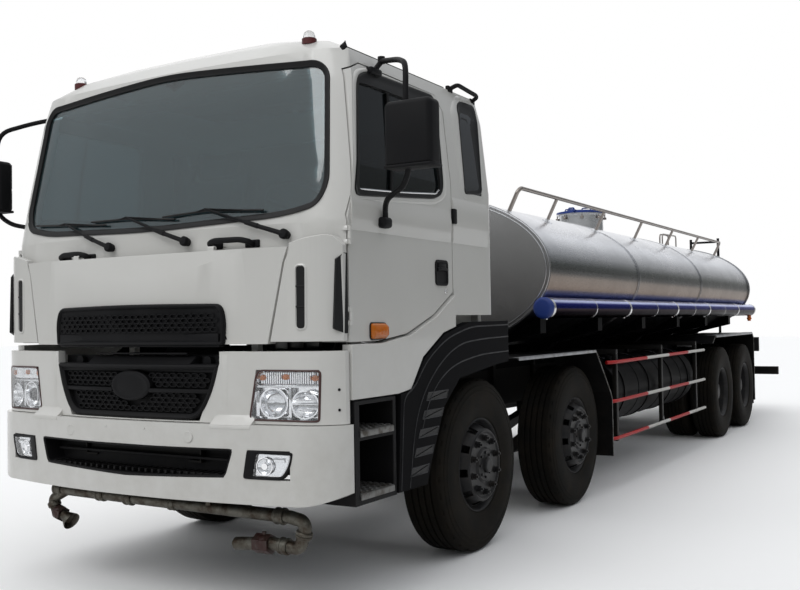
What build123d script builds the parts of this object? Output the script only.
"""Tanker truck, 8x4 with cab over engine and an oval tank.

Millimetres, +Z up, the ground at Z = 0. The truck faces -Y and its left side is +X.
The origin is on the ground, midway along its length, on the centre plane.
"""
from build123d import *
import math
import os

os.makedirs("parts", exist_ok=True)

# ---- driving dimensions -------------------------------------------------------------------
overall_length = 12200
overall_width = 2490
front_overhang = 1880
steer_axle_gap = 1700
main_wheelbase = 4850
bogie_gap = 1300
running_gap = 8            # between panels that move against each other
seat_gap = 0.3             # between fitted pieces on one body
pin_gap = 0.4              # radial, round pins and spindles

# axles along the truck
y_nose = -overall_length / 2
y_tail = overall_length / 2
y_axle_1 = y_nose + front_overhang
y_axle_2 = y_axle_1 + steer_axle_gap
y_axle_3 = y_axle_2 + main_wheelbase
y_axle_4 = y_axle_3 + bogie_gap
body_side = overall_width / 2

# wheels
tyre_radius = 541
tyre_width = 300
rim_radius = 286
rim_wall = 14
rim_width = 250
dual_spacing = 340
front_wheel_x = body_side - 225                              # centre plane of a front tyre
rear_wheel_x = body_side - (tyre_width + dual_spacing) / 2   # middle of a rear pair
spindle_radius = 45
kingpin_x = front_wheel_x - 170
kingpin_radius = 25
hub_z = tyre_radius

# frame
rail_outer_x = 425
rail_flange = 90
rail_height = 300
rail_web = 10
rail_top_z = 1040
rail_bottom_z = rail_top_z - rail_height
frame_front_y = y_axle_1 - 1760

# cab
cab_half_width = body_side - 30
cab_wall = 45
door_thickness = 60
cab_floor_z = 1380
cab_rear_y = y_axle_1 + 115
cab_pivot_y = y_axle_1 - 1600
cab_pivot_z = 900
cab_pivot_radius = 25
cab_arm_x = (445, 490)
cab_arm_y = (y_axle_1 - 1370, y_axle_1 - 1330)
cab_latch_y = (y_axle_1 + 20, y_axle_1 + 80)
lid_bottom_z = 1348
lid_shoulder_z = 1750
lid_top_z = 1827
lid_bottom_half_width = 845
lid_shoulder_half_width = 930
lid_half_width = 957

# tank
tank_half_width = 1180
tank_half_height = 611
tank_bottom_z = 1211
tank_centre_z = tank_bottom_z + tank_half_height
tank_top_z = tank_centre_z + tank_half_height
tank_wall = 8
tank_front_y = y_axle_1 + 1154
tank_rear_y = y_axle_1 + 8500
manhole_y = y_axle_1 + 5100
manhole_radius = 250
manhole_wall = 10
manhole_rim_z = tank_top_z + 207


# ---- helpers ------------------------------------------------------------------------------
def block(x, y, z, mode=Mode.ADD):
    """Block between two values on each axis, in the part that is open."""
    with Locations(((x[0] + x[1]) / 2, (y[0] + y[1]) / 2, (z[0] + z[1]) / 2)):
        Box(x[1] - x[0], y[1] - y[0], z[1] - z[0], mode=mode)


def sided(side, x):
    """Two values of X, carried to the truck's left (1) or right (-1), lower value first."""
    return tuple(sorted(side * value for value in x))


def side_prism(corners, x, mode=Mode.ADD):
    """Outline in (y, z), carried across from x[0] to x[1]."""
    with BuildSketch(Plane.YZ.offset(x[0])) as outline:
        with BuildLine():
            Polyline(*corners, close=True)
        make_face()
    extrude(outline.sketch, amount=x[1] - x[0], mode=mode)


def front_prism(corners, y, mode=Mode.ADD):
    """Outline in (x, z), carried back from y[0] to y[1]."""
    with BuildSketch(Plane.XZ.offset(-y[1])) as outline:
        with BuildLine():
            Polyline(*corners, close=True)
        make_face()
    extrude(outline.sketch, amount=y[1] - y[0], mode=mode)


def rod_x(radius, x, y, z, mode=Mode.ADD):
    """Round bar along X."""
    with BuildSketch(Plane.YZ.offset(x[0])) as section:
        with Locations((y, z)):
            Circle(radius)
    extrude(section.sketch, amount=x[1] - x[0], mode=mode)


def rod_y(radius, x, y, z, mode=Mode.ADD):
    """Round bar along Y."""
    with BuildSketch(Plane.XZ.offset(-y[1])) as section:
        with Locations((x, z)):
            Circle(radius)
    extrude(section.sketch, amount=y[1] - y[0], mode=mode)


def rod_z(radius, x, y, z, mode=Mode.ADD):
    """Round bar along Z."""
    with BuildSketch(Plane.XY.offset(z[0])) as section:
        with Locations((x, y)):
            Circle(radius)
    extrude(section.sketch, amount=z[1] - z[0], mode=mode)


def pipe(points, radius, bend, mode=Mode.ADD):
    """Round bar along straight runs joined by bends of one radius."""
    with BuildLine() as path:
        if len(points) > 2:
            FilletPolyline(*points, radius=bend)
        else:
            Line(*points)
    start = Plane(origin=path.line @ 0, z_dir=path.line % 0)
    with BuildSketch(start) as section:
        Circle(radius)
    sweep(section.sketch, path=path.line, mode=mode)


def bowed_block(half_width, y_front, y_back, z, bow, mode=Mode.ADD):
    """Block whose front is bowed in plan: bow = (corner run, drop at the bow's end, drop at the side)."""
    run, bow_drop, side_drop = bow
    x_bow = half_width - run
    y_bow = y_front + bow_drop
    y_side = y_front + side_drop
    x_mid = half_width - 0.32 * run
    y_mid = y_bow + 0.40 * (side_drop - bow_drop)
    with BuildSketch(Plane.XY.offset(z[0])) as plan:
        with BuildLine():
            ThreePointArc((-x_bow, y_bow), (0, y_front), (x_bow, y_bow))
            ThreePointArc((x_bow, y_bow), (x_mid, y_mid), (half_width, y_side))
            Polyline((half_width, y_side), (half_width, y_back), (-half_width, y_back), (-half_width, y_side))
            ThreePointArc((-half_width, y_side), (-x_mid, y_mid), (-x_bow, y_bow))
        make_face()
    extrude(plan.sketch, amount=z[1] - z[0], mode=mode)


def finish(part, name):
    """Label a finished piece and write it."""
    part.label = name
    export_step(part, f"parts/{name}.step")


# ---- chassis frame ------------------------------------------------------------------------
# cross members: distance behind axle 1, height
cross_members = [(-1700, 200), (900, 160), (2400, 200), (3900, 160), (5400, 200), (7200, 220), (8900, 200)]
cross_low_z = rail_top_z - 270
tow_block_y = (y_tail - 150, y_tail)
tow_pin_y = y_tail - 70
tow_pin_radius = 25
tow_block_z = (820, 940)

with BuildPart() as chassis_frame:
    for side in (-1, 1):
        web_x = side * rail_outer_x
        lip_x = side * (rail_outer_x - rail_flange)
        inner_x = side * (rail_outer_x - rail_web)
        front_prism(
            [
                (web_x, rail_bottom_z), (lip_x, rail_bottom_z), (lip_x, rail_bottom_z + rail_web),
                (inner_x, rail_bottom_z + rail_web), (inner_x, rail_top_z - rail_web),
                (lip_x, rail_top_z - rail_web), (lip_x, rail_top_z), (web_x, rail_top_z),
            ],
            (frame_front_y, y_tail - 20),
        )
    for behind, height in cross_members:
        y_member = y_axle_1 + behind
        x_member = (-rail_outer_x + 5, rail_outer_x - 5)
        block(x_member, (y_member - 40, y_member + 40), (cross_low_z, cross_low_z + height))
    block((-rail_outer_x, rail_outer_x), (y_tail - 170, y_tail - 150), (rail_bottom_z, rail_top_z))
    block((-70, 70), (tow_block_y[0] - 10, tow_block_y[1]), tow_block_z)
    rod_z(tow_pin_radius, 0, tow_pin_y, (tow_block_z[0] - 1, tow_block_z[1] + 1), mode=Mode.SUBTRACT)
    for side in (-1, 1):
        x_pin = sided(side, (rail_outer_x - 5, cab_arm_x[1] + 6))
        rod_x(cab_pivot_radius, x_pin, cab_pivot_y, cab_pivot_z)
        x_latch = sided(side, (rail_outer_x - 50, rail_outer_x))
        block(x_latch, cab_latch_y, (rail_top_z - 5, cab_floor_z - seat_gap))
finish(chassis_frame.part, "chassis_frame")

# ---- engine and driveline -----------------------------------------------------------------
engine_x = 300
engine_y = (y_axle_1 - 1000, y_axle_1 + 450)
engine_z = (640, 1400)
shaft_radius = 60
gearbox_out_z = 700
shaft_z = hub_z + 79
rear_beam_half = 65
rear_spindle_radius = spindle_radius + 15
diff_radius = 235
rear_hub_inner_x = rear_wheel_x - 365

with BuildPart() as engine:
    block((-engine_x, engine_x), engine_y, engine_z)
finish(engine.part, "engine")

with BuildPart() as rear_driveline:
    rod_y(90, 0, (engine_y[1] + seat_gap, engine_y[1] + 40), gearbox_out_z)
    pipe([(0, engine_y[1] + 20, gearbox_out_z), (0, y_axle_3 - 300, shaft_z)], shaft_radius, 0)
    for y_axle in (y_axle_3, y_axle_4):
        rod_y(diff_radius, 0, (y_axle - 140, y_axle + 140), hub_z + 10)
        rod_y(95, 0, (y_axle - 330, y_axle), shaft_z)
        beam_y = (y_axle - rear_beam_half, y_axle + rear_beam_half)
        block((-rear_hub_inner_x, rear_hub_inner_x), beam_y, (hub_z - rear_beam_half, hub_z + rear_beam_half))
        rod_x(rear_spindle_radius, (-rear_wheel_x - 80, rear_wheel_x + 80), y_axle, hub_z)
    rod_y(shaft_radius, 0, (y_axle_3, y_axle_4 - 100), shaft_z)
finish(rear_driveline.part, "rear_driveline")

# ---- front axles --------------------------------------------------------------------------
beam_half_depth = 45
axle_eye_radius = 48
axle_eye_half_height = 50
beam_low_z = hub_z - 161
beam_drop_top_z = hub_z - 71
beam_eye_x = kingpin_x - 80       # where the beam starts to drop
beam_low_x = kingpin_x - 210      # where its low middle starts

with BuildPart() as front_axles:
    for y_axle in (y_axle_1, y_axle_2):
        beam_y = (y_axle - beam_half_depth, y_axle + beam_half_depth)
        front_prism(
            [
                (-kingpin_x, hub_z - axle_eye_half_height), (-beam_eye_x, hub_z - axle_eye_half_height),
                (-beam_low_x, beam_low_z), (beam_low_x, beam_low_z),
                (beam_eye_x, hub_z - axle_eye_half_height),
                (kingpin_x, hub_z - axle_eye_half_height), (kingpin_x, hub_z + axle_eye_half_height),
                (beam_eye_x - 10, hub_z + axle_eye_half_height), (beam_low_x - 40, beam_drop_top_z),
                (40 - beam_low_x, beam_drop_top_z), (10 - beam_eye_x, hub_z + axle_eye_half_height),
                (-kingpin_x, hub_z + axle_eye_half_height),
            ],
            beam_y,
        )
        for side in (-1, 1):
            x_pin = side * kingpin_x
            z_eye = (hub_z - axle_eye_half_height, hub_z + axle_eye_half_height)
            rod_z(axle_eye_radius, x_pin, y_axle, z_eye)
            rod_z(kingpin_radius, x_pin, y_axle, (hub_z - 115, hub_z + 115))
finish(front_axles.part, "front_axles")

# ---- leaf springs -------------------------------------------------------------------------
front_spring_x = (350, 440)
rear_spring_x = (rail_outer_x + 5, rail_outer_x + 105)
trunnion_y = (y_axle_3 + y_axle_4) / 2
trunnion_z = (520, 960)
front_leaf_end_z = hub_z + 79
front_leaf_length = 740         # from the middle to an end
shackle_inset = 15
rear_leaf_middle_z = hub_z + 159
rear_leaf_end_z = hub_z + 99
rear_leaf_seat_z = hub_z + 119


def leaf_pack(x, y, half_length, z_middle, z_end, thickness):
    """Bowed pack of leaves along Y, with its middle at z_middle and its ends at z_end."""
    with BuildSketch(Plane.YZ.offset(x[0])) as pack:
        with BuildLine():
            ThreePointArc((y - half_length, z_end), (y, z_middle), (y + half_length, z_end))
            Line((y + half_length, z_end), (y + half_length, z_end + 0.4 * thickness))
            ThreePointArc(
                (y + half_length, z_end + 0.4 * thickness),
                (y, z_middle + thickness),
                (y - half_length, z_end + 0.4 * thickness),
            )
            Line((y - half_length, z_end + 0.4 * thickness), (y - half_length, z_end))
        make_face()
    extrude(pack.sketch, amount=x[1] - x[0])


with BuildPart() as leaf_springs:
    for side in (-1, 1):
        for y_axle in (y_axle_1, y_axle_2):
            x_pack = sided(side, front_spring_x)
            leaf_pack(x_pack, y_axle, front_leaf_length, beam_drop_top_z + 20, front_leaf_end_z, 90)
            for end in (-1, 1):
                y_shackle = y_axle + end * (front_leaf_length - shackle_inset)
                block(x_pack, (y_shackle - 30, y_shackle + 30), (front_leaf_end_z, rail_bottom_z - seat_gap))
            block(x_pack, (y_axle - 110, y_axle + 110), (beam_drop_top_z + seat_gap, beam_drop_top_z + 40))
        x_pack = sided(side, rear_spring_x)
        leaf_pack(x_pack, trunnion_y, bogie_gap / 2 + 60, rear_leaf_middle_z, rear_leaf_end_z, 110)
        x_hanger = sided(side, (rail_outer_x + seat_gap, rail_outer_x + 120))
        block(x_hanger, (trunnion_y - 130, trunnion_y + 130), trunnion_z)
        for y_axle in (y_axle_3, y_axle_4):
            block(x_pack, (y_axle - 60, y_axle + 60), (hub_z + rear_beam_half + seat_gap, rear_leaf_seat_z))
finish(leaf_springs.part, "leaf_springs")

# ---- knuckles and wheels ------------------------------------------------------------------
knuckle_web_x = kingpin_x + 60
knuckle_arm_gap = 10
knuckle_arm_half_height = 118
spindle_end_x = front_wheel_x + 110

for number, y_axle in ((1, y_axle_1), (2, y_axle_2)):
    for side_name, side in (("left", 1), ("right", -1)):
        with BuildPart() as knuckle:
            x_arm = sided(side, (kingpin_x - 48, knuckle_web_x + 45))
            x_web = sided(side, (knuckle_web_x, knuckle_web_x + 45))
            x_spindle = sided(side, (knuckle_web_x, spindle_end_x))
            arm_low = axle_eye_half_height + knuckle_arm_gap
            z_web = (hub_z - knuckle_arm_half_height, hub_z + knuckle_arm_half_height)
            block(x_web, (y_axle - 60, y_axle + 60), z_web)
            block(x_arm, (y_axle - 48, y_axle + 48), (hub_z + arm_low, hub_z + knuckle_arm_half_height))
            block(x_arm, (y_axle - 48, y_axle + 48), (hub_z - knuckle_arm_half_height, hub_z - arm_low))
            rod_x(spindle_radius, x_spindle, y_axle, hub_z)
            rod_z(
                kingpin_radius + pin_gap, side * kingpin_x, y_axle,
                (z_web[0] - 1, z_web[1] + 1), mode=Mode.SUBTRACT,
            )
        finish(knuckle.part, f"knuckle_{number}_{side_name}")


def tyre(x_middle, y, inner_radius):
    """Tubeless truck tyre: flat tread, rounded shoulders and bulged side walls."""
    half = tyre_width / 2
    bead = rim_width / 2 - 8
    with BuildSketch(Plane.XY.offset(hub_z)) as section:
        with BuildLine():
            Polyline((x_middle - bead, y + inner_radius), (x_middle + bead, y + inner_radius))
            ThreePointArc(
                (x_middle + bead, y + inner_radius),
                (x_middle + half, y + 0.5 * (inner_radius + tyre_radius)),
                (x_middle + half - 18, y + tyre_radius - 22),
            )
            Polyline(
                (x_middle + half - 18, y + tyre_radius - 22), (x_middle + half - 40, y + tyre_radius),
                (x_middle - half + 40, y + tyre_radius), (x_middle - half + 18, y + tyre_radius - 22),
            )
            ThreePointArc(
                (x_middle - half + 18, y + tyre_radius - 22),
                (x_middle - half, y + 0.5 * (inner_radius + tyre_radius)),
                (x_middle - bead, y + inner_radius),
            )
        make_face()
    revolve(section.sketch, axis=Axis((x_middle, y, hub_z), (1, 0, 0)))


def rim_barrel(x_middle, y):
    """Open rim ring with a small flange at each edge."""
    half = rim_width / 2
    rod_x(rim_radius, (x_middle - half, x_middle + half), y, hub_z)
    rod_x(rim_radius - rim_wall, (x_middle - half - 1, x_middle + half + 1), y, hub_z, mode=Mode.SUBTRACT)


front_disc_x = (front_wheel_x + 60, front_wheel_x + 74)
front_hub_x = (front_wheel_x - 40, body_side - 25)
rear_disc_x = (rear_wheel_x - 15, rear_wheel_x + 15)
rear_drum_x = (rear_hub_inner_x + running_gap, rear_wheel_x - 15)
rear_hub_end_x = rear_wheel_x + 250
band_radius = rim_radius - rim_wall + 1
band_half = (dual_spacing - rim_width) / 2 + 20       # the spacer band between twin rims
band_x = (rear_wheel_x - band_half, rear_wheel_x + band_half)
hand_hole_count = 10
hand_hole_radius = 26
hand_hole_circle = 205

# wheel: axle number, axle place, whether twin
wheel_rows = [(1, y_axle_1, False), (2, y_axle_2, False), (3, y_axle_3, True), (4, y_axle_4, True)]
for number, y_axle, twin in wheel_rows:
    for side_name, side in (("left", 1), ("right", -1)):
        if twin:
            middles = (rear_wheel_x - dual_spacing / 2, rear_wheel_x + dual_spacing / 2)
        else:
            middles = (front_wheel_x,)
        with BuildPart() as tyres:
            for x_middle in middles:
                tyre(side * x_middle, y_axle, rim_radius + seat_gap)
        finish(tyres.part, f"tyre_{number}_{side_name}")

        disc_x = rear_disc_x if twin else front_disc_x
        with BuildPart() as rim:
            for x_middle in middles:
                rim_barrel(side * x_middle, y_axle)
            x_disc = sided(side, disc_x)
            rod_x(rim_radius - 4, x_disc, y_axle, hub_z)
            with BuildSketch(Plane.YZ.offset(x_disc[0] - 1)) as hand_holes:
                with Locations((y_axle, hub_z)):
                    with PolarLocations(hand_hole_circle, hand_hole_count):
                        Circle(hand_hole_radius)
            extrude(hand_holes.sketch, amount=x_disc[1] - x_disc[0] + 2, mode=Mode.SUBTRACT)
            if twin:
                with BuildPart(mode=Mode.PRIVATE) as band:
                    rod_x(band_radius, sided(side, band_x), y_axle, hub_z)
                    rod_x(band_radius - rim_wall, sided(side, band_x), y_axle, hub_z, mode=Mode.SUBTRACT)
                add(band.part)
                rod_x(200, sided(side, rear_drum_x), y_axle, hub_z)
                rod_x(125, sided(side, (rear_wheel_x, rear_hub_end_x)), y_axle, hub_z)
                bore_radius = rear_spindle_radius + pin_gap
                bore = (rear_drum_x[0] - 1, rear_wheel_x + 80 + pin_gap)
            else:
                rod_x(150, sided(side, (front_hub_x[0], front_disc_x[1])), y_axle, hub_z)
                rod_x(95, sided(side, (front_disc_x[0], front_hub_x[1])), y_axle, hub_z)
                bore_radius = spindle_radius + pin_gap
                bore = (front_hub_x[0] - 1, spindle_end_x + pin_gap)
            rod_x(bore_radius, sided(side, bore), y_axle, hub_z, mode=Mode.SUBTRACT)
        finish(rim.part, f"rim_{number}_{side_name}")

# ---- bumper, grille and lamps -------------------------------------------------------------
bumper_wall = 45
bumper_z = (525, 952)
bumper_bow = (240, 105, 283)
panel_z = (955, 1312)
panel_bow = (240, 105, 230)
panel_front_y = y_nose + 38
panel_half_width = body_side - 20
front_back_y = cab_pivot_y + 22
insert_gap = 0.5
headlamp_corners = [
    (body_side - 475, 975), (body_side - 125, 975), (body_side - 115, 1222), (body_side - 445, 1222),
]
fog_corners = [
    (body_side - 470, 690), (body_side - 240, 690), (body_side - 240, 832), (body_side - 470, 832),
]
intake_corners = [(-643, 691), (0, 667), (643, 691), (691, 832), (-691, 832)]
grille_corners = [(-470, 962), (470, 962), (593, 1251), (593, 1313), (-593, 1313), (-593, 1251)]
grille_row_z = [1000, 1055, 1110, 1165]
grille_slot_height = 26


def mirrored(corners):
    """The same outline on the truck's right side."""
    return [(-x, z) for x, z in corners]


def grown(corners, by):
    """Outline with each of its edges moved outwards by the given amount."""
    following = corners[1:] + corners[:1]
    area = sum(a[0] * b[1] - b[0] * a[1] for a, b in zip(corners, following))
    turn = math.copysign(1, area)
    normals = []
    for start, end in zip(corners, following):
        length = math.dist(start, end)
        normals.append((turn * (end[1] - start[1]) / length, turn * (start[0] - end[0]) / length))
    moved = []
    for corner, before, after in zip(corners, normals[-1:] + normals[:-1], normals):
        share = by / (1 + before[0] * after[0] + before[1] * after[1])
        moved.append((corner[0] + share * (before[0] + after[0]), corner[1] + share * (before[1] + after[1])))
    return moved


def bowed_insert(half_width, y_front, bow, wall, corners, z):
    """Piece of a bowed wall inside an outline in (x, z)."""
    run, bow_drop, side_drop = bow
    with BuildPart() as piece:
        bowed_block(half_width, y_front, y_front + 500, z, bow)
        inner_bow = (run, bow_drop, side_drop - wall)
        bowed_block(half_width - wall, y_front + wall, y_front + 501, z, inner_bow, mode=Mode.SUBTRACT)
        front_prism(corners, (y_front - 10, y_front + 350), mode=Mode.INTERSECT)
    return piece.part


with BuildPart() as bumper:
    for half_width, y_front, z, bow in (
        (body_side, y_nose, bumper_z, bumper_bow),
        (panel_half_width, panel_front_y, panel_z, panel_bow),
    ):
        run, bow_drop, side_drop = bow
        inner_bow = (run, bow_drop, side_drop - bumper_wall)
        with BuildPart(mode=Mode.PRIVATE) as wall:
            bowed_block(half_width, y_front, front_back_y, z, bow)
            y_inner = y_front + bumper_wall
            bowed_block(half_width - bumper_wall, y_inner, front_back_y + 1, z, inner_bow, mode=Mode.SUBTRACT)
        add(wall.part)
    for side in (-1, 1):
        rib_x = sided(side, (610, 640))
        block(rib_x, (y_nose + 65, y_nose + 160), (bumper_z[0] + 320, panel_z[1] - 20))
        bracket_x = sided(side, (rail_outer_x, 640))
        block(bracket_x, (y_nose + 62, frame_front_y + 60), (bumper_z[0] + 320, bumper_z[0] + 400))
    front_prism(intake_corners, (y_nose - 10, y_nose + 130), mode=Mode.SUBTRACT)
    front_prism(grille_corners, (y_nose - 10, y_nose + 300), mode=Mode.SUBTRACT)
    for outline in (fog_corners, headlamp_corners):
        for corners in (outline, mirrored(outline)):
            front_prism(corners, (y_nose - 10, y_nose + 300), mode=Mode.SUBTRACT)
finish(bumper.part, "bumper")

with BuildPart() as lower_grille:
    add(bowed_insert(
        panel_half_width, panel_front_y + 8, panel_bow, 40, grown(grille_corners, -insert_gap), (962, 1312)
    ))
    for z_row in grille_row_z:
        slot_half = 440 + 0.4 * (z_row - 1000)
        z_slot = (z_row, z_row + grille_slot_height)
        block((-slot_half, slot_half), (y_nose, y_nose + 120), z_slot, mode=Mode.SUBTRACT)
    add(bowed_insert(body_side, y_nose + 22, bumper_bow, 22, grown(intake_corners, -insert_gap), (660, 840)))
finish(lower_grille.part, "lower_grille")

tail_lamp_y = y_axle_1 + 8800
tail_lamp_z = (951, 1149)
deck_half_width = 960
with BuildPart() as lamps:
    for corners, wall_side, y_front, bow, z in (
        (headlamp_corners, panel_half_width, panel_front_y + 6, panel_bow, (970, 1230)),
        (fog_corners, body_side, y_nose + 8, bumper_bow, (680, 840)),
    ):
        for outline in (corners, mirrored(corners)):
            add(bowed_insert(wall_side, y_front, bow, 60, grown(outline, -insert_gap), z))
    for side in (-1, 1):
        x_lamp = sided(side, (deck_half_width + seat_gap, body_side - 5))
        block(x_lamp, (tail_lamp_y - 40, tail_lamp_y + 40), tail_lamp_z)
finish(lamps.part, "lamps")

# ---- sprinkler under the bumper -----------------------------------------------------------
sprinkler_y = y_axle_1 - 1650
sprinkler_radius = 33
sprinkler_left = [(-771, 505), (-201, 497), (906, 487), (1012, 470), (965, 335), (790, 345), (560, 322)]
sprinkler_right = [(-700, 503), (-835, 440), (-800, 372), (-690, 340)]

with BuildPart() as front_sprinkler:
    pipe([(x, sprinkler_y, z) for x, z in sprinkler_left], sprinkler_radius, 40)
    pipe([(x, sprinkler_y, z) for x, z in sprinkler_right], sprinkler_radius - 4, 30)
    for side in (-1, 1):
        x_hanger = sided(side, (380, 410))
        block(x_hanger, (sprinkler_y - 30, sprinkler_y + 30), (500, rail_bottom_z - seat_gap))
finish(front_sprinkler.part, "front_sprinkler")

# ---- steps, arches and side garnish -------------------------------------------------------
step_x = (body_side - 305, body_side - 10)
step_y = (y_axle_1 - 1555, y_axle_1 - 1160)
step_z = (545, 1062)
step_wells = [(590, 862), (900, 1040)]      # floor and top of each well
arch_x = (body_side - 55, body_side)
arch_inner_x = front_wheel_x - 140
arch_outer = [
    (-1156, 552), (-1121, 1066), (-994, 1079), (-856, 1245), (-616, 1373), (-293, 1439), (260, 1444),
]
arch_inner = [(260, 1180), (79, 1169), (-438, 1111), (-640, 960), (-795, 677), (-850, 552)]
arch_shell = [(260, 1188), (79, 1177), (-443, 1119), (-648, 966), (-803, 680), (-858, 552)]
garnish_x = (body_side - 65, body_side - 7)
garnish_outline = [
    (-1571, 1069), (-1129, 1069), (-1000, 1084), (-862, 1252), (-620, 1381), (-462, 1414),
    (-462, 1600), (-700, 1472), (-1000, 1372), (-1290, 1340), (-1571, 1340),
]


def behind_axle(outline, y_axle):
    """Outline given from an axle, moved to its place along the truck."""
    return [(y_axle + y, z) for y, z in outline]


with BuildPart() as cab_steps:
    for side in (-1, 1):
        with BuildPart(mode=Mode.PRIVATE) as step_box:
            block(sided(side, step_x), step_y, step_z)
            x_well = sided(side, (step_x[0] + 40, step_x[1] + 1))
            for z_well in step_wells:
                block(x_well, (step_y[0] + 45, step_y[1] - 30), z_well, mode=Mode.SUBTRACT)
            x_arm = sided(side, (rail_outer_x + seat_gap, step_x[0] + 5))
            block(x_arm, (step_y[0] + 150, step_y[0] + 250), (rail_bottom_z + 5, rail_bottom_z + 60))
        add(step_box.part)
finish(cab_steps.part, "cab_steps")

with BuildPart() as wheel_arches:
    for side in (-1, 1):
        with BuildPart(mode=Mode.PRIVATE) as arch:
            x_plate = sided(side, arch_x)
            side_prism(behind_axle(arch_outer + arch_inner, y_axle_1), x_plate)
            x_shell = sided(side, (arch_inner_x, arch_x[0] + 5))
            side_prism(behind_axle(arch_shell + arch_inner[::-1], y_axle_1), x_shell)
            arch_stay_y = (y_axle_1 + 150, y_axle_1 + 205)
            x_stay = sided(side, (rail_outer_x + seat_gap, arch_inner_x + 20))
            block(x_stay, arch_stay_y, (1130, 1178))
            x_post = sided(side, (rail_outer_x + seat_gap, rail_outer_x + 30))
            block(x_post, arch_stay_y, (rail_top_z - 120, 1150))
        add(arch.part)
finish(wheel_arches.part, "wheel_arches")

with BuildPart() as side_garnish:
    for side in (-1, 1):
        with BuildPart(mode=Mode.PRIVATE) as garnish:
            x_panel = sided(side, garnish_x)
            side_prism(behind_axle(garnish_outline, y_axle_1), x_panel)
            x_foot = sided(side, (garnish_x[0] - 80, garnish_x[0] + 5))
            block(x_foot, (step_y[0] + 60, step_y[1] - 40), (step_z[1] + seat_gap, step_z[1] + 40))
            add(wheel_arches.part, mode=Mode.SUBTRACT)
        add(garnish.part)
finish(side_garnish.part, "side_garnish")

# ---- fenders over the rear wheels ---------------------------------------------------------
fender_wall = 8
fender_2_outline = [(408, 1190), (1965, 1190), (2302, 843), (2345, 780), (2345, 300)]
fender_rear_outline = [(6000, 1140), (6155, 1224), (8304, 1224), (8400, 1150), (8400, 300)]


def thick_strip(outline, wall):
    """Closed outline of a folded plate of one thickness, from its upper edge."""
    lower = [(y - wall, z - wall) for y, z in outline]
    lower[0] = (outline[0][0], outline[0][1] - wall)
    lower[-1] = (outline[-1][0] - wall, outline[-1][1])
    return outline + lower[::-1]


with BuildPart() as fenders:
    for side in (-1, 1):
        for outline, x_inner, x_outer, stay_y in (
            (fender_2_outline, front_wheel_x - 160, body_side - 5, 1700),
            (fender_rear_outline, rear_wheel_x - 335, body_side, 7400),
        ):
            x_plate = sided(side, (x_inner, x_outer))
            side_prism(behind_axle(thick_strip(outline, fender_wall), y_axle_1), x_plate)
            x_stay = sided(side, (rail_outer_x + seat_gap, x_inner + 20))
            z_stay = max(z for y, z in outline) - fender_wall
            block(x_stay, (y_axle_1 + stay_y, y_axle_1 + stay_y + 50), (z_stay - 60, z_stay + 2))
            x_post = sided(side, (rail_outer_x + seat_gap, rail_outer_x + 30))
            block(x_post, (y_axle_1 + stay_y, y_axle_1 + stay_y + 50), (rail_top_z - 120, z_stay))
finish(fenders.part, "fenders")

# ---- side guards, fuel tank and boxes -----------------------------------------------------
guard_x = body_side - 20
guard_radius = 20
guard_z = [1075, 745, 430]
guard_y = (y_axle_1 + 2400, y_axle_1 + 5610)
guard_post_y = [y_axle_1 + 2560, y_axle_1 + 3950, y_axle_1 + 5300]
guard_post_top_z = 1140
fuel_tank_x = 860
fuel_tank_z = 800
fuel_tank_radius = 300
fuel_tank_y = (y_axle_1 + 2700, y_axle_1 + 5400)
fuel_strap_y = [y_axle_1 + 2950, y_axle_1 + 3700, y_axle_1 + 4500, y_axle_1 + 5150]
fuel_strap_width = 60
fuel_strap_proud = 8
air_tank_radius = 130
air_tank_y = (y_axle_1 + 2700, y_axle_1 + 3900)
air_tank_rows = [(640, 640), (930, 640)]    # x, z
battery_y = (y_axle_1 + 4100, y_axle_1 + 4950)
battery_outer_x = body_side - 55

with BuildPart() as side_guards:
    for side in (-1, 1):
        with BuildPart(mode=Mode.PRIVATE) as guard:
            for z_rail in guard_z:
                bend_in = [
                    (side * (guard_x - 150), guard_y[0], z_rail), (side * guard_x, guard_y[0] + 90, z_rail),
                    (side * guard_x, guard_y[1], z_rail),
                ]
                pipe(bend_in, guard_radius, 60)
            for y_post in guard_post_y:
                x_post = sided(side, (guard_x - 45, guard_x - 10))
                block(x_post, (y_post - 25, y_post + 25), (guard_z[-1] - 30, guard_post_top_z))
                x_arm = sided(side, (rail_outer_x + seat_gap, guard_x - 10))
                block(x_arm, (y_post - 25, y_post + 25), (guard_post_top_z, guard_post_top_z + 40))
                x_root = sided(side, (rail_outer_x + seat_gap, rail_outer_x + 30))
                block(x_root, (y_post - 25, y_post + 25), (rail_top_z - 90, guard_post_top_z + 10))
        add(guard.part)
finish(side_guards.part, "side_guards")

with BuildPart() as fuel_tank:
    rod_y(fuel_tank_radius, fuel_tank_x, fuel_tank_y, fuel_tank_z)
    fillet(fuel_tank.edges().filter_by(GeomType.CIRCLE), radius=30)
    for y_strap in fuel_strap_y:
        strap = (y_strap - fuel_strap_width / 2, y_strap + fuel_strap_width / 2)
        rod_y(fuel_tank_radius + fuel_strap_proud, fuel_tank_x, strap, fuel_tank_z)
        block((rail_outer_x + seat_gap, fuel_tank_x - 250), strap, (rail_bottom_z + 20, rail_top_z - 20))
finish(fuel_tank.part, "fuel_tank")

with BuildPart() as side_boxes:
    for x_tank, z_tank in air_tank_rows:
        rod_y(air_tank_radius, -x_tank, air_tank_y, z_tank)
    for y_strap in (air_tank_y[0] + 250, air_tank_y[1] - 250):
        strap = (y_strap - 25, y_strap + 25)
        z_strap = (air_tank_rows[0][1] + 100, rail_bottom_z + 90)
        block((-air_tank_rows[1][0], -rail_outer_x - seat_gap), strap, z_strap)
    block((-battery_outer_x, -rail_outer_x - seat_gap), battery_y, (520, rail_top_z - 40))
finish(side_boxes.part, "side_boxes")

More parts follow.
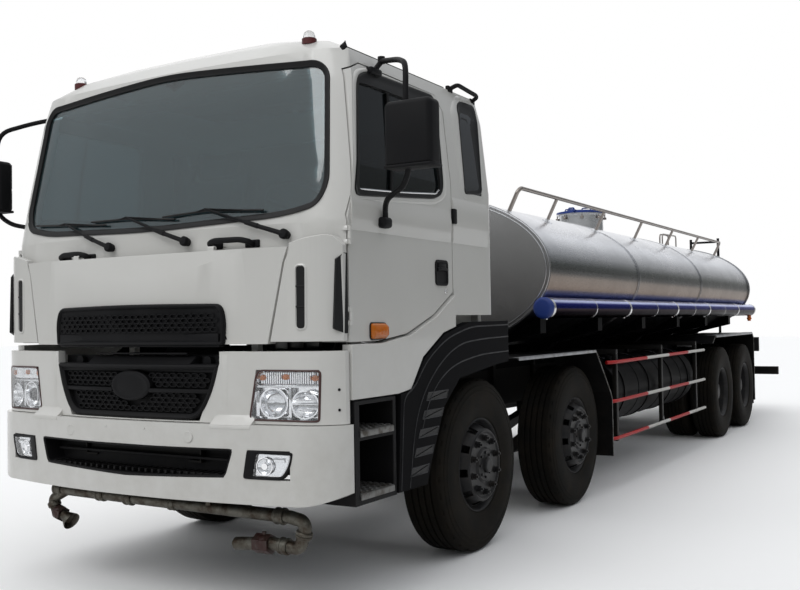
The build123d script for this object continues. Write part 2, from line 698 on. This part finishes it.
# ---- water tank ---------------------------------------------------------------------------
end_rim_proud = 14
end_rim_width = 40
weld_band_y = [y_axle_1 + 3350, y_axle_1 + 5750]
weld_band_width = 30
weld_band_proud = 3


def tank_section(grow, y, amount, mode=Mode.ADD):
    """Oval slice of the tank, larger by grow, carried back from y by amount."""
    with BuildSketch(Plane.XZ.offset(-(y + amount))) as oval:
        with Locations((0, tank_centre_z)):
            Ellipse(tank_half_width + grow, tank_half_height + grow)
    extrude(oval.sketch, amount=amount, mode=mode)


tank_length = tank_rear_y - tank_front_y
with BuildPart() as water_tank:
    tank_section(0, tank_front_y, tank_length)
    for y_rim in (tank_front_y, tank_rear_y - end_rim_width):
        tank_section(end_rim_proud, y_rim, end_rim_width)
    for y_band in weld_band_y:
        tank_section(weld_band_proud, y_band, weld_band_width)
    tank_section(-tank_wall, tank_front_y + tank_wall, tank_length - 2 * tank_wall, mode=Mode.SUBTRACT)
finish(water_tank.part, "water_tank")

manhole_flange_radius = manhole_radius + 28
manhole_bore_radius = manhole_radius - manhole_wall
manhole_hinge_y = manhole_y + manhole_flange_radius + 22
manhole_lid_z = (manhole_rim_z + seat_gap, manhole_rim_z + 26)
manhole_hinge_z = manhole_rim_z + 13
manhole_hinge_radius = 8

with BuildPart() as manhole_neck:
    rod_z(manhole_radius, 0, manhole_y, (tank_top_z - 51, manhole_rim_z))
    rod_z(manhole_flange_radius, 0, manhole_y, (manhole_rim_z - 14, manhole_rim_z))
    rod_z(
        manhole_bore_radius, 0, manhole_y, (tank_top_z + 6, manhole_rim_z + 1),
        mode=Mode.SUBTRACT,
    )
    tank_section(seat_gap, manhole_y - 400, 800, mode=Mode.SUBTRACT)
    for side in (-1, 1):
        ear_x = sided(side, (45, 60))
        ear_y = (manhole_y + manhole_radius - 8, manhole_hinge_y + 14)
        block(ear_x, ear_y, (manhole_rim_z - 60, manhole_rim_z - 14))
        block(ear_x, (manhole_hinge_y - 14, manhole_hinge_y + 14), (manhole_rim_z - 20, manhole_hinge_z + 14))
    rod_x(manhole_hinge_radius, (-60, 60), manhole_hinge_y, manhole_hinge_z)
finish(manhole_neck.part, "manhole_neck")

with BuildPart() as manhole_lid:
    rod_z(manhole_flange_radius, 0, manhole_y, manhole_lid_z)
    rod_z(manhole_flange_radius - 70, 0, manhole_y, (manhole_lid_z[0] + 5, manhole_lid_z[1] + 14))
    block((-38, 38), (manhole_y + manhole_flange_radius - 30, manhole_hinge_y), manhole_lid_z)
    rod_x(manhole_hinge_radius + 8, (-38, 38), manhole_hinge_y, manhole_hinge_z)
    rod_x(manhole_hinge_radius + pin_gap, (-39, 39), manhole_hinge_y, manhole_hinge_z, mode=Mode.SUBTRACT)
    lid_front_edge = manhole_y - manhole_flange_radius
    block((-30, 30), (lid_front_edge - 45, lid_front_edge + 30), manhole_lid_z)
finish(manhole_lid.part, "manhole_lid")

# ---- tank cradle --------------------------------------------------------------------------
hose_tube_radius = 80
hose_tube_x = body_side - hose_tube_radius
hose_tube_z = tank_centre_z - 291
cradle_rail_top_z = 1150
saddle_foot_z = rail_top_z + 70
saddle_side_z = 1340
saddle_count = 6
saddle_width = 110
saddle_half_width = 980
saddle_end_inset = 350
saddle_top_z = hose_tube_z - 25

with BuildPart() as tank_cradle:
    saddle_pitch = (tank_length - 2 * saddle_end_inset) / (saddle_count - 1)
    for row in range(saddle_count):
        y_saddle = tank_front_y + saddle_end_inset + row * saddle_pitch
        front_prism(
            [
                (-rail_outer_x, saddle_foot_z), (rail_outer_x, saddle_foot_z), (560, saddle_side_z - 100),
                (saddle_half_width, saddle_side_z), (saddle_half_width, saddle_top_z),
                (-saddle_half_width, saddle_top_z), (-saddle_half_width, saddle_side_z),
                (-560, saddle_side_z - 100),
            ],
            (y_saddle - saddle_width / 2, y_saddle + saddle_width / 2),
        )
    for side in (-1, 1):
        x_rail = sided(side, (rail_outer_x - rail_flange, rail_outer_x))
        block(x_rail, (tank_front_y - 60, tank_rear_y + 60), (rail_top_z + seat_gap, cradle_rail_top_z))
    tank_section(seat_gap, tank_front_y - 500, tank_length + 1000, mode=Mode.SUBTRACT)
    for y_rim in (tank_front_y, tank_rear_y - end_rim_width):
        tank_section(end_rim_proud + seat_gap, y_rim - 1, end_rim_width + 2, mode=Mode.SUBTRACT)
finish(tank_cradle.part, "tank_cradle")

# ---- rails on the tank --------------------------------------------------------------------
rail_foot_x = 820
rail_post_height = 210
rail_tube_radius = 16
rail_post_pitch = 1195
rail_post_count = 6
rail_first_post_y = y_axle_1 + 2024
rail_front_y = tank_front_y + 90
shell_slope = math.sqrt(1 - (rail_foot_x / tank_half_width) ** 2)
rail_foot_z = tank_centre_z + tank_half_height * shell_slope + 2 * seat_gap
normal = (rail_foot_x / tank_half_width ** 2, (rail_foot_z - tank_centre_z) / tank_half_height ** 2)
normal_length = math.hypot(*normal)
rail_top_x = rail_foot_x + rail_post_height * normal[0] / normal_length
rail_top_tube_z = rail_foot_z + rail_post_height * normal[1] / normal_length

with BuildPart() as top_rails:
    for side in (-1, 1):
        rail_last_y = rail_first_post_y + (rail_post_count - 1) * rail_post_pitch
        pipe(
            [
                (side * rail_foot_x, rail_front_y, rail_foot_z),
                (side * rail_top_x, rail_front_y, rail_top_tube_z),
                (side * rail_top_x, rail_last_y, rail_top_tube_z),
                (side * rail_foot_x, rail_last_y, rail_foot_z),
            ],
            rail_tube_radius, 50,
        )
        for row in range(rail_post_count - 1):
            y_post = rail_first_post_y + row * rail_post_pitch
            post = [(side * rail_foot_x, y_post, rail_foot_z), (side * rail_top_x, y_post, rail_top_tube_z)]
            pipe(post, rail_tube_radius - 2, 0)
finish(top_rails.part, "top_rails")

# ---- hose tubes ---------------------------------------------------------------------------
hose_tube_y = (y_axle_1 + 1040, y_axle_1 + 8620)
hose_bracket_y = [tank_front_y + 400, tank_front_y + 2700, tank_front_y + 4900, tank_rear_y - 300]

with BuildPart() as hose_tubes:
    for side in (-1, 1):
        rod_y(hose_tube_radius, side * hose_tube_x, hose_tube_y, hose_tube_z)
        for y_bracket in hose_bracket_y:
            x_bracket = sided(side, (960, hose_tube_x - 20))
            block(x_bracket, (y_bracket - 30, y_bracket + 30), (hose_tube_z - 15, hose_tube_z + 15))
    tank_section(seat_gap, tank_front_y - 500, tank_length + 1000, mode=Mode.SUBTRACT)
finish(hose_tubes.part, "hose_tubes")

# ---- rear deck, discharge pipe and rear bumper --------------------------------------------
deck_y = (tank_rear_y + 90, tow_pin_y - tow_pin_radius - 25)
deck_z = (rail_top_z + seat_gap, rail_top_z + 60)
discharge_z = tank_bottom_z + 79
discharge_radius = 57
discharge_bore = 50
discharge_flange_radius = 105
discharge_pcd = 170
discharge_bolts = 8
discharge_bolt_radius = 9
discharge_face_y = tank_rear_y + 640
ladder_x = 560
ladder_spread = 190
ladder_top_z = tank_top_z + 127
ladder_rungs = 5
ladder_y = tank_rear_y + 130

with BuildPart() as rear_deck:
    block((-deck_half_width, deck_half_width), deck_y, deck_z)
    for x_rung_side in (ladder_x - ladder_spread, ladder_x + ladder_spread):
        pipe([(x_rung_side, ladder_y, deck_z[0] + 20), (x_rung_side, ladder_y, ladder_top_z)], 18, 0)
    for row in range(ladder_rungs):
        z_rung = deck_z[1] + 250 + row * (ladder_top_z - deck_z[1] - 300) / (ladder_rungs - 1)
        rod_x(15, (ladder_x - ladder_spread, ladder_x + ladder_spread), ladder_y, z_rung)
        if row == 1:
            stay = (tank_rear_y + seat_gap, ladder_y)
            for x_stay in (ladder_x - ladder_spread, ladder_x + ladder_spread):
                rod_y(12, x_stay, stay, z_rung)
finish(rear_deck.part, "rear_deck")

with BuildPart() as discharge_pipe:
    rod_y(discharge_radius, 0, (tank_rear_y + seat_gap, discharge_face_y), discharge_z)
    rod_y(discharge_flange_radius, 0, (discharge_face_y - 22, discharge_face_y), discharge_z)
    rod_y(discharge_flange_radius, 0, (tank_rear_y + seat_gap, tank_rear_y + 22), discharge_z)
    rod_y(discharge_bore, 0, (tank_rear_y + 40, discharge_face_y + 1), discharge_z, mode=Mode.SUBTRACT)
    with BuildSketch(Plane.XZ.offset(-(discharge_face_y + 1))) as flange_holes:
        with Locations((0, discharge_z)):
            with PolarLocations(discharge_pcd / 2, discharge_bolts):
                Circle(discharge_bolt_radius)
    extrude(flange_holes.sketch, amount=24, mode=Mode.SUBTRACT)
    y_prop = (discharge_face_y - 200, discharge_face_y - 140)
    block((-30, 30), y_prop, (deck_z[1] + seat_gap, discharge_z - 50))
finish(discharge_pipe.part, "discharge_pipe")

rear_bar_z = (545, 665)
with BuildPart() as rear_bumper:
    block((-body_side, body_side), (y_tail - 70, y_tail), rear_bar_z)
    for side in (-1, 1):
        x_drop = sided(side, (rail_outer_x - 80, rail_outer_x - 20))
        block(x_drop, (y_tail - 120, y_tail - 60), (rear_bar_z[0] + 10, rail_bottom_z - seat_gap))
finish(rear_bumper.part, "rear_bumper")

# ---- cab ----------------------------------------------------------------------------------
# section: height, half width, front, rear
cab_sections = [
    (1950, cab_half_width, cab_pivot_y - 100, cab_rear_y),
    (2250, cab_half_width - 2, cab_pivot_y - 40, cab_rear_y),
    (2700, cab_half_width - 50, cab_pivot_y + 38, cab_rear_y - 3),
    (2860, cab_half_width - 88, cab_pivot_y + 72, cab_rear_y - 15),
    (2940, cab_half_width - 255, cab_pivot_y + 160, cab_rear_y - 75),
    (3010, cab_half_width - 515, cab_pivot_y + 310, cab_rear_y - 195),
    (3046, cab_half_width - 835, cab_pivot_y + 500, cab_rear_y - 415),
]
cab_front_y = cab_pivot_y - 90
cab_corner_run = 240
cab_bow_drop = 62
cab_side_drop = 140
cab_rear_corner = 60
eaves_z = 2800


def cab_outline(z, half_width, y_front, y_rear):
    """One level section of the cab: bowed front, straight sides, rounded rear corners."""
    x_bow = half_width - cab_corner_run
    share = (x_bow / (cab_half_width - cab_corner_run)) ** 2
    y_bow = y_front + cab_bow_drop * share
    y_side = y_bow + cab_side_drop - cab_bow_drop
    x_mid = half_width - 0.32 * cab_corner_run
    y_mid = y_bow + 0.40 * (y_side - y_bow)
    x_rear = half_width - cab_rear_corner
    y_corner = y_rear - cab_rear_corner
    rounding = 0.293 * cab_rear_corner      # from the square corner to the arc's middle
    x_round = half_width - rounding
    with BuildSketch(Plane.XY.offset(z)) as section:
        with BuildLine():
            ThreePointArc((-x_bow, y_bow), (0, y_front), (x_bow, y_bow))
            ThreePointArc((x_bow, y_bow), (x_mid, y_mid), (half_width, y_side))
            Line((half_width, y_side), (half_width, y_corner))
            ThreePointArc((half_width, y_corner), (x_round, y_rear - rounding), (x_rear, y_rear))
            Line((x_rear, y_rear), (-x_rear, y_rear))
            ThreePointArc((-x_rear, y_rear), (-x_round, y_rear - rounding), (-half_width, y_corner))
            Line((-half_width, y_corner), (-half_width, y_side))
            ThreePointArc((-half_width, y_side), (-x_mid, y_mid), (-x_bow, y_bow))
        make_face()
    return section.sketch


def cab_volume(inset, floor_z):
    """The cab's closed shape, pulled in by inset, from floor_z up."""
    rows = [(floor_z, cab_half_width, cab_front_y, cab_rear_y)] + cab_sections
    with BuildPart() as volume:
        outlines = []
        for z, half_width, y_front, y_rear in rows:
            z_inset = z - inset if z > eaves_z else z
            outlines.append(cab_outline(z_inset, half_width - inset, y_front + inset, y_rear - inset))
        loft(outlines, ruled=True)
    return volume.part


def beside(outline, x, mode=Mode.ADD):
    """Side outline, given from axle 1, carried across x on both sides of the truck."""
    for side in (-1, 1):
        side_prism(behind_axle(outline, y_axle_1), sided(side, x), mode=mode)


door_outline = [
    (-1556, 1352), (-1290, 1352), (-1000, 1384), (-700, 1484), (-455, 1618), (-455, 2690),
    (-520, 2780), (-1330, 2790), (-1440, 2740), (-1520, 2100), (-1556, 1980),
]
door_hole = grown(door_outline, running_gap)
door_window = [(-1460, 2110), (-1385, 2690), (-640, 2690), (-600, 2640), (-580, 2200), (-620, 2170)]
quarter_window = [(-329, 2700), (-140, 2690), (-75, 2260), (-270, 2225)]
screen_corners = [
    (-1110, 2140), (-1060, 2035), (-860, 1992), (0, 1962), (860, 1992), (1060, 2035), (1110, 2140),
    (1055, 2730), (1000, 2790), (0, 2845), (-1000, 2790), (-1055, 2730),
]
below_door = [
    (-1564, 1300), (-1564, 1352), (-1288, 1372), (-998, 1392), (-697, 1490), (-440, 1640), (-440, 1300),
]
behind_arch = [(-450, 1300), (200, 1300), (200, 1482), (-450, 1482)]
inner_sill = [(-1470, 1382), (-1470, 1440), (-900, 1440), (-500, 1640), (60, 1640), (60, 1382)]
outside_x = cab_half_width + 85
hump_half_width = 400
hump_z = 1500
hump_wall = 40
glass_inset = 14
glass_wall = 7
cab_outer = cab_volume(0, cab_floor_z)
cab_outer_clear = cab_volume(-seat_gap, lid_bottom_z - 20)
cab_inner = cab_volume(cab_wall, cab_floor_z + cab_wall)
door_outer = cab_volume(0, lid_bottom_z - 10)
door_inner = cab_volume(door_thickness, lid_bottom_z - 11)
lid_hinge_y = cab_pivot_y - 145
lid_hinge_z = lid_top_z + 12
lid_hinge_x = [-500, 500]
lid_lug_half = 20
lid_ear_radius = 7
hinge_pin_radius = 6
hinge_barrel_radius = 10
door_hinge_x = cab_half_width + 11
door_hinge_y = y_axle_1 - 1560
door_hinge_z = [1480, 1880]

with BuildPart() as cab_shell:
    add(cab_outer)
    add(cab_inner, mode=Mode.SUBTRACT)
    block((-hump_half_width, hump_half_width), (cab_front_y + 20, cab_rear_y - 10), (cab_floor_z, hump_z))
    block(
        (-hump_half_width + hump_wall, hump_half_width - hump_wall), (cab_front_y + cab_wall, cab_rear_y + 1),
        (cab_floor_z - 1, hump_z - hump_wall), mode=Mode.SUBTRACT,
    )
    front_prism(screen_corners, (cab_front_y - 60, cab_front_y + 420), mode=Mode.SUBTRACT)
    beside(door_hole, (cab_half_width - 185, outside_x), mode=Mode.SUBTRACT)
    beside(below_door, (cab_half_width - 95, outside_x), mode=Mode.SUBTRACT)
    beside(quarter_window, (cab_half_width - 215, outside_x), mode=Mode.SUBTRACT)
    beside(behind_arch, (cab_half_width - 95, outside_x), mode=Mode.SUBTRACT)
    beside(inner_sill, (cab_half_width - 175, cab_half_width - 137))
    for side in (-1, 1):
        x_arm = sided(side, cab_arm_x)
        block(x_arm, (cab_pivot_y, cab_arm_y[1]), (cab_pivot_z - 50, cab_pivot_z + 50))
        rod_x(50, x_arm, cab_pivot_y, cab_pivot_z)
        block(x_arm, cab_arm_y, (cab_pivot_z - 50, cab_floor_z + 5))
        x_bore = (x_arm[0] - 1, x_arm[1] + 1)
        rod_x(cab_pivot_radius + pin_gap, x_bore, cab_pivot_y, cab_pivot_z, mode=Mode.SUBTRACT)
    for x_hinge in lid_hinge_x:
        for x_ear in (
            (x_hinge - lid_lug_half - 16, x_hinge - lid_lug_half - 2),
            (x_hinge + lid_lug_half + 2, x_hinge + lid_lug_half + 16),
        ):
            block(x_ear, (lid_hinge_y, cab_front_y + 25), (lid_hinge_z - lid_ear_radius, lid_hinge_z + 12))
            rod_x(lid_ear_radius, x_ear, lid_hinge_y, lid_hinge_z)
        rod_x(hinge_pin_radius, (x_hinge - 30, x_hinge + 30), lid_hinge_y, lid_hinge_z)
    for side in (-1, 1):
        for z_hinge in door_hinge_z:
            rod_z(hinge_pin_radius, side * door_hinge_x, door_hinge_y, (z_hinge - 40, z_hinge + 40))
            for z_knuckle in ((z_hinge - 45, z_hinge - 22), (z_hinge + 22, z_hinge + 45)):
                rod_z(hinge_barrel_radius, side * door_hinge_x, door_hinge_y, z_knuckle)
                x_leaf = sided(side, (cab_half_width - 30, door_hinge_x - 4))
                block(x_leaf, (door_hinge_y - 17, door_hinge_y - 6), z_knuckle)
finish(cab_shell.part, "cab_shell")

with BuildPart() as cab_glass:
    add(cab_volume(glass_inset, cab_floor_z))
    add(cab_volume(glass_inset + glass_wall, cab_floor_z - 1), mode=Mode.SUBTRACT)
    with BuildPart(mode=Mode.PRIVATE) as panes:
        front_prism(grown(screen_corners, -insert_gap), (cab_front_y - 60, cab_front_y + 400))
        beside(grown(quarter_window, -insert_gap), (cab_half_width - 115, outside_x))
    add(panes.part, mode=Mode.INTERSECT)
finish(cab_glass.part, "cab_glass")

lid_bow = (265, 91, 193)
lid_front_y = cab_pivot_y - 206
lid_wall = 55
lid_crease_z = 1700         # above this the lid leans back to its hinge
vane_wall = 40
vane_gap = 10
lid_side = [
    (lid_bottom_half_width, lid_bottom_z), (lid_shoulder_half_width, lid_shoulder_z),
    (lid_half_width, lid_top_z),
]
lid_corners = lid_side + mirrored(lid_side)[::-1]
# the lid's upper corners lie behind its hinge and dip as it opens, so they are thin there
lid_relief_x = lid_half_width - 55
lid_relief_z = lid_shoulder_z - 60
lid_relief_y = lid_front_y + 103
upper_grille_corners = [(-615, 1372), (615, 1372), (545, 1535), (500, 1556), (-500, 1556), (-545, 1535)]
vane_z = (1358, 1880)

with BuildPart() as corner_vanes:
    bowed_block(cab_half_width + 5, lid_front_y, cab_pivot_y + 18, vane_z, lid_bow)
    bowed_block(
        cab_half_width + 5 - vane_wall, lid_front_y + vane_wall, cab_pivot_y + 19, vane_z,
        (lid_bow[0], lid_bow[1], lid_bow[2] - vane_wall), mode=Mode.SUBTRACT,
    )
    vane_edge = [
        (lid_bottom_half_width + vane_gap, lid_bottom_z - 8),
        (lid_shoulder_half_width + vane_gap, lid_shoulder_z),
        (lid_half_width + vane_gap, lid_top_z - 12), (lid_half_width + vane_gap, vane_z[1] + 10),
    ]
    vane_hole = vane_edge + mirrored(vane_edge)[::-1]
    front_prism(vane_hole, (lid_front_y - 20, cab_pivot_y), mode=Mode.SUBTRACT)
    for side in (-1, 1):
        x_stay = sided(side, (lid_half_width + 43, lid_half_width + 103))
        block(x_stay, (lid_front_y + 125, cab_front_y + 60), (1600, 1660))
    add(cab_outer_clear, mode=Mode.SUBTRACT)
finish(corner_vanes.part, "corner_vanes")

with BuildPart() as front_lid:
    lid_z = (lid_bottom_z, lid_top_z)
    add(bowed_insert(cab_half_width + 5, lid_front_y, lid_bow, lid_wall, lid_corners, lid_z))
    side_prism(
        [
            (lid_front_y - 5, lid_crease_z), (lid_front_y, lid_crease_z), (lid_front_y + 50, lid_top_z + 1),
            (lid_front_y - 5, lid_top_z + 1),
        ],
        (-lid_half_width - 1, lid_half_width + 1), mode=Mode.SUBTRACT,
    )
    front_prism(upper_grille_corners, (lid_front_y - 20, lid_front_y + 200), mode=Mode.SUBTRACT)
    for side in (-1, 1):
        x_relief = sided(side, (lid_relief_x, lid_half_width + 1))
        block(x_relief, (lid_relief_y, cab_pivot_y), (lid_relief_z, lid_top_z + 1), mode=Mode.SUBTRACT)
    for x_hinge in lid_hinge_x:
        x_lug = (x_hinge - lid_lug_half, x_hinge + lid_lug_half)
        block(x_lug, (lid_hinge_y - 12, lid_hinge_y + 10), (lid_top_z - 40, lid_hinge_z))
        rod_x(hinge_barrel_radius + 2, x_lug, lid_hinge_y, lid_hinge_z)
        x_bore = (x_lug[0] - 1, x_lug[1] + 1)
        rod_x(hinge_pin_radius + pin_gap, x_bore, lid_hinge_y, lid_hinge_z, mode=Mode.SUBTRACT)
finish(front_lid.part, "front_lid")

with BuildPart() as upper_grille:
    grille_outline = grown(upper_grille_corners, -insert_gap)
    add(bowed_insert(cab_half_width + 5, lid_front_y - 6, lid_bow, 40, grille_outline, (1360, 1570)))
finish(upper_grille.part, "upper_grille")

# ---- cab fittings -------------------------------------------------------------------------
cabin_floor_z = cab_floor_z + cab_wall
seat_x = 620
wheel_x = 620
wheel_centre = (wheel_x, y_axle_1 - 1130, 2060)
wheel_rim_radius = 225
column_tilt = 40
column_radius = 24
column_length = 310
dash_y = (cab_pivot_y - 15, y_axle_1 - 1300)
column_axis = Vector(0, math.cos(math.radians(column_tilt)), math.sin(math.radians(column_tilt)))
rim_plane = Plane(origin=wheel_centre, x_dir=(1, 0, 0), z_dir=column_axis)

with BuildPart() as cab_interior:
    for side in (-1, 1):
        x_seat = (side * seat_x - 260, side * seat_x + 260)
        x_box = (side * seat_x - 200, side * seat_x + 200)
        block(x_box, (y_axle_1 - 900, y_axle_1 - 420), (cabin_floor_z, 1760))
        block(x_seat, (y_axle_1 - 960, y_axle_1 - 380), (1760, 1900))
        side_prism(
            behind_axle([(-480, 1900), (-380, 1900), (-230, 2560), (-330, 2590)], y_axle_1), x_seat
        )
    dash_outline = [
        (dash_y[0], 1700), (dash_y[1], 1760), (dash_y[1], 1920), (dash_y[0] + 120, 1965), (dash_y[0], 1940),
    ]
    side_prism(dash_outline, (-1040, 1040))
    for side in (-1, 1):
        block(sided(side, (410, 460)), (dash_y[0], dash_y[1] - 60), (cabin_floor_z, 1740))
    add(cab_volume(cab_wall + seat_gap, cabin_floor_z), mode=Mode.INTERSECT)
    with BuildSketch(rim_plane.offset(-column_length - 2)) as column_bore:
        Circle(column_radius + pin_gap)
    extrude(column_bore.sketch, amount=column_length - 40, mode=Mode.SUBTRACT)
finish(cab_interior.part, "cab_interior")

with BuildPart() as steering_wheel:
    with BuildSketch(Plane(origin=wheel_centre, x_dir=(1, 0, 0), z_dir=rim_plane.y_dir)) as rim_section:
        with Locations((wheel_rim_radius, 0)):
            Circle(16)
    revolve(rim_section.sketch, axis=Axis(wheel_centre, column_axis))
    with BuildSketch(rim_plane.offset(-12)) as spokes:
        Circle(60)
        for angle in (0, 120, 240):
            with Locations(Rotation(0, 0, angle + 90)):
                with Locations((wheel_rim_radius / 2, 0)):
                    Rectangle(wheel_rim_radius - 4, 36)
    extrude(spokes.sketch, amount=20)
    with BuildSketch(rim_plane.offset(-column_length)) as column:
        Circle(column_radius)
    extrude(column.sketch, amount=column_length)
finish(steering_wheel.part, "steering_wheel")

# ---- doors and mirrors --------------------------------------------------------------------
mirror_x = (cab_half_width + 225, cab_half_width + 475)
mirror_y = (y_axle_1 - 1600, y_axle_1 - 1490)
mirror_z = (2190, 2500)
mirror_arm_y = y_axle_1 - 1480
mirror_arm_radius = 14

for side_name, side in (("left", 1), ("right", -1)):
    with BuildPart() as door:
        add(door_outer)
        add(door_inner, mode=Mode.SUBTRACT)
        x_slab = sided(side, (cab_half_width - 215, outside_x))
        side_prism(behind_axle(door_outline, y_axle_1), x_slab, mode=Mode.INTERSECT)
        side_prism(behind_axle(door_window, y_axle_1), x_slab, mode=Mode.SUBTRACT)
        for z_hinge in door_hinge_z:
            z_barrel = (z_hinge - 20, z_hinge + 20)
            x_leaf = sided(side, (cab_half_width - 4, cab_half_width + 5))
            block(x_leaf, (door_hinge_y + 1, door_hinge_y + 34), z_barrel)
            rod_z(hinge_barrel_radius, side * door_hinge_x, door_hinge_y, z_barrel)
            z_bore = (z_hinge - 21, z_hinge + 21)
            rod_z(hinge_pin_radius + pin_gap, side * door_hinge_x, door_hinge_y, z_bore, mode=Mode.SUBTRACT)
    finish(door.part, f"door_{side_name}")

    with BuildPart() as door_glass:
        add(cab_volume(glass_inset, cab_floor_z))
        add(cab_volume(glass_inset + glass_wall, cab_floor_z - 1), mode=Mode.SUBTRACT)
        pane = grown(door_window, -insert_gap)
        side_prism(behind_axle(pane, y_axle_1), x_slab, mode=Mode.INTERSECT)
    finish(door_glass.part, f"door_glass_{side_name}")

    with BuildPart() as mirror:
        block(sided(side, mirror_x), mirror_y, mirror_z)
        fillet(mirror.edges(), radius=25)
        x_post = side * (mirror_x[0] + 40)
        pipe(
            [
                (side * (cab_half_width - 95), mirror_arm_y, 2660), (x_post, mirror_arm_y - 20, 2660),
                (x_post, mirror_arm_y - 20, 2060), (side * (cab_half_width - 65), mirror_arm_y, 2060),
            ],
            mirror_arm_radius, 60,
        )
        for z_clamp in ((2250, 2290), (2400, 2440)):
            block((x_post - 30, x_post + 30), (mirror_y[1] - 20, mirror_arm_y), z_clamp)
        side_face = [
            (cab_half_width - 215, 1940), (cab_half_width + seat_gap, 1950),
            (cab_half_width - 2 + seat_gap, 2250), (cab_half_width - 50 + seat_gap, 2700),
            (cab_half_width - 215, 2710),
        ]
        cab_side = [(side * x, z) for x, z in side_face]
        front_prism(cab_side, (mirror_y[0], mirror_y[1] + 100), mode=Mode.SUBTRACT)
    finish(mirror.part, f"mirror_{side_name}")
